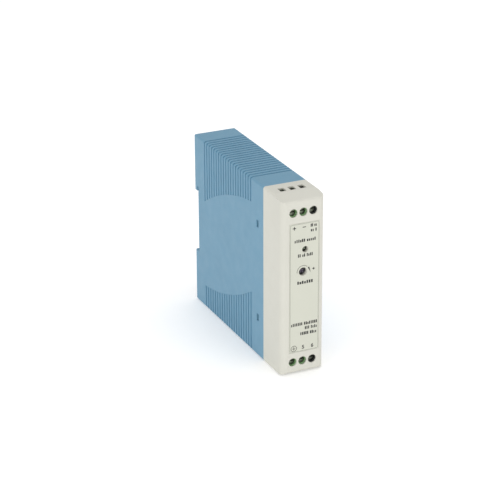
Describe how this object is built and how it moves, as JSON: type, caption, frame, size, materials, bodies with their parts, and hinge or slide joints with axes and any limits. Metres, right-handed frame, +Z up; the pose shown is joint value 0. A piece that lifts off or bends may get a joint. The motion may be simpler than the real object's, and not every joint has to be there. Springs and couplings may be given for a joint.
{
  "type": "din rail power supply",
  "caption": "Slim rail-mounted power supply: ribbed blue case, off-white terminal cover, sprung rail latch, turning terminal screws with lifting clamps and a voltage trimmer.",
  "frame": {"origin": "centre of the seat that rests on the rail's lips, midway across the case", "axes": "+Y towards the rail and its wall, X along the rail, +Z up"},
  "size_m": [0.0226, 0.1, 0.09],
  "materials": {
    "case_blue": "fine moulded texture",
    "cover_white": "fine moulded texture",
    "label_film": "satin polyester film",
    "latch_black": "moulded glass-filled nylon",
    "spring_steel": "drawn spring wire",
    "board_green": "solder mask",
    "insulation_film": "polyester film",
    "terminal_green": "moulded nylon",
    "terminal_dark": "moulded nylon",
    "screw_zinc": "zinc plated",
    "clamp_nickel": "nickel plated",
    "contact_tin": "tinned brass",
    "trimmer_blue": "moulded",
    "rotor_grey": "moulded",
    "lamp_green": "diffused epoxy",
    "spacer_white": "moulded",
    "header_black": "moulded",
    "fuse_brown": "moulded",
    "thermistor_green": "dipped",
    "varistor_blue": "dipped",
    "film_yellow": "potted box",
    "ferrite_dark": "sintered",
    "winding_copper": "enamelled copper",
    "package_black": "moulded epoxy",
    "sleeve_blue": "shrunk sleeve",
    "sleeve_green": "shrunk sleeve",
    "tape_yellow": "polyester tape",
    "heatsink_plain": "mill finish",
    "resistor_tan": "lacquered"
  },
  "bodies": {
    "housing": {"case_body": "case_blue", "front_cover": "cover_white", "front_label": "label_film", "latch_spring": "spring_steel", "main_board": "board_green", "front_board": "board_green", "board_header": "header_black", "insulation_sheet": "insulation_film", "output_terminal_block": "terminal_green", "output_terminal_end_pole": "terminal_dark", "input_terminal_block": "terminal_green", "input_terminal_end_pole": "terminal_dark", "output_contacts": "contact_tin", "input_contacts": "contact_tin", "trimmer_body": "trimmer_blue", "status_lamp": "lamp_green", "lamp_spacer": "spacer_white", "fuse": "fuse_brown", "inrush_thermistor": "thermistor_green", "surge_varistor": "varistor_blue", "safety_capacitor": "film_yellow", "filter_choke_core": "ferrite_dark", "filter_choke_windings": "winding_copper", "bridge_rectifier": "package_black", "bulk_capacitor": "sleeve_blue", "transformer_core": "ferrite_dark", "transformer_bobbin": "package_black", "transformer_winding": "tape_yellow", "switching_transistor": "package_black", "primary_heatsink": "heatsink_plain", "output_diode": "package_black", "secondary_heatsink": "heatsink_plain", "heatsink_screws": "screw_zinc", "output_capacitors": "sleeve_green", "output_inductor_core": "ferrite_dark", "output_inductor_winding": "winding_copper", "optocoupler": "package_black", "controller_chip": "package_black", "bridging_capacitor": "varistor_blue", "snubber_resistors": "resistor_tan"},
    "latch": {"rail_latch": "latch_black"},
    "trimmer": {"trimmer_rotor": "rotor_grey"},
    "output_screw_1": {"output_screw_1": "screw_zinc"},
    "output_clamp_1": {"output_clamp_1": "clamp_nickel"},
    "output_screw_2": {"output_screw_2": "screw_zinc"},
    "output_clamp_2": {"output_clamp_2": "clamp_nickel"},
    "output_screw_3": {"output_screw_3": "screw_zinc"},
    "output_clamp_3": {"output_clamp_3": "clamp_nickel"},
    "input_screw_1": {"input_screw_1": "screw_zinc"},
    "input_clamp_1": {"input_clamp_1": "clamp_nickel"},
    "input_screw_2": {"input_screw_2": "screw_zinc"},
    "input_clamp_2": {"input_clamp_2": "clamp_nickel"},
    "input_screw_3": {"input_screw_3": "screw_zinc"},
    "input_clamp_3": {"input_clamp_3": "clamp_nickel"}
  },
  "joints": [
    {"name": "latch_slide", "type": "slide", "parent": "housing", "child": "latch", "axis": [0, 0, -1], "range_m": [0, 0.0045], "stiffness_N_per_m": 700, "springref_m": -0.004, "deforming": ["latch_spring"]},
    {"name": "trimmer_turn", "type": "hinge", "parent": "housing", "child": "trimmer", "pos_m": [0, -0.0858, 0.007], "axis": [0, 1, 0], "range_deg": [-130, 130]},
    {"name": "output_screw_1_turn", "type": "hinge", "parent": "housing", "child": "output_screw_1", "pos_m": [-0.00508, -0.0908, 0.037], "axis": [0, 1, 0], "range_deg": [-2, 1802]},
    {"name": "output_clamp_1_lift", "type": "slide", "parent": "housing", "child": "output_clamp_1", "axis": [0, -1, 0], "range_m": [0, 0.00225]},
    {"name": "output_screw_2_turn", "type": "hinge", "parent": "housing", "child": "output_screw_2", "pos_m": [0, -0.0908, 0.037], "axis": [0, 1, 0], "range_deg": [-2, 1802]},
    {"name": "output_clamp_2_lift", "type": "slide", "parent": "housing", "child": "output_clamp_2", "axis": [0, -1, 0], "range_m": [0, 0.00225]},
    {"name": "output_screw_3_turn", "type": "hinge", "parent": "housing", "child": "output_screw_3", "pos_m": [0.00508, -0.0908, 0.037], "axis": [0, 1, 0], "range_deg": [-2, 1802]},
    {"name": "output_clamp_3_lift", "type": "slide", "parent": "housing", "child": "output_clamp_3", "axis": [0, -1, 0], "range_m": [0, 0.00225]},
    {"name": "input_screw_1_turn", "type": "hinge", "parent": "housing", "child": "input_screw_1", "pos_m": [-0.00508, -0.0908, -0.039], "axis": [0, 1, 0], "range_deg": [-2, 1802]},
    {"name": "input_clamp_1_lift", "type": "slide", "parent": "housing", "child": "input_clamp_1", "axis": [0, -1, 0], "range_m": [0, 0.00225]},
    {"name": "input_screw_2_turn", "type": "hinge", "parent": "housing", "child": "input_screw_2", "pos_m": [0, -0.0908, -0.039], "axis": [0, 1, 0], "range_deg": [-2, 1802]},
    {"name": "input_clamp_2_lift", "type": "slide", "parent": "housing", "child": "input_clamp_2", "axis": [0, -1, 0], "range_m": [0, 0.00225]},
    {"name": "input_screw_3_turn", "type": "hinge", "parent": "housing", "child": "input_screw_3", "pos_m": [0.00508, -0.0908, -0.039], "axis": [0, 1, 0], "range_deg": [-2, 1802]},
    {"name": "input_clamp_3_lift", "type": "slide", "parent": "housing", "child": "input_clamp_3", "axis": [0, -1, 0], "range_m": [0, 0.00225]}
  ],
  "couplings": [
    {"joint": "output_screw_1_turn", "follows": "output_clamp_1_lift", "rad_per_m": 13963},
    {"joint": "output_screw_2_turn", "follows": "output_clamp_2_lift", "rad_per_m": 13963},
    {"joint": "output_screw_3_turn", "follows": "output_clamp_3_lift", "rad_per_m": 13963},
    {"joint": "input_screw_1_turn", "follows": "input_clamp_1_lift", "rad_per_m": 13963},
    {"joint": "input_screw_2_turn", "follows": "input_clamp_2_lift", "rad_per_m": 13963},
    {"joint": "input_screw_3_turn", "follows": "input_clamp_3_lift", "rad_per_m": 13963}
  ]
}
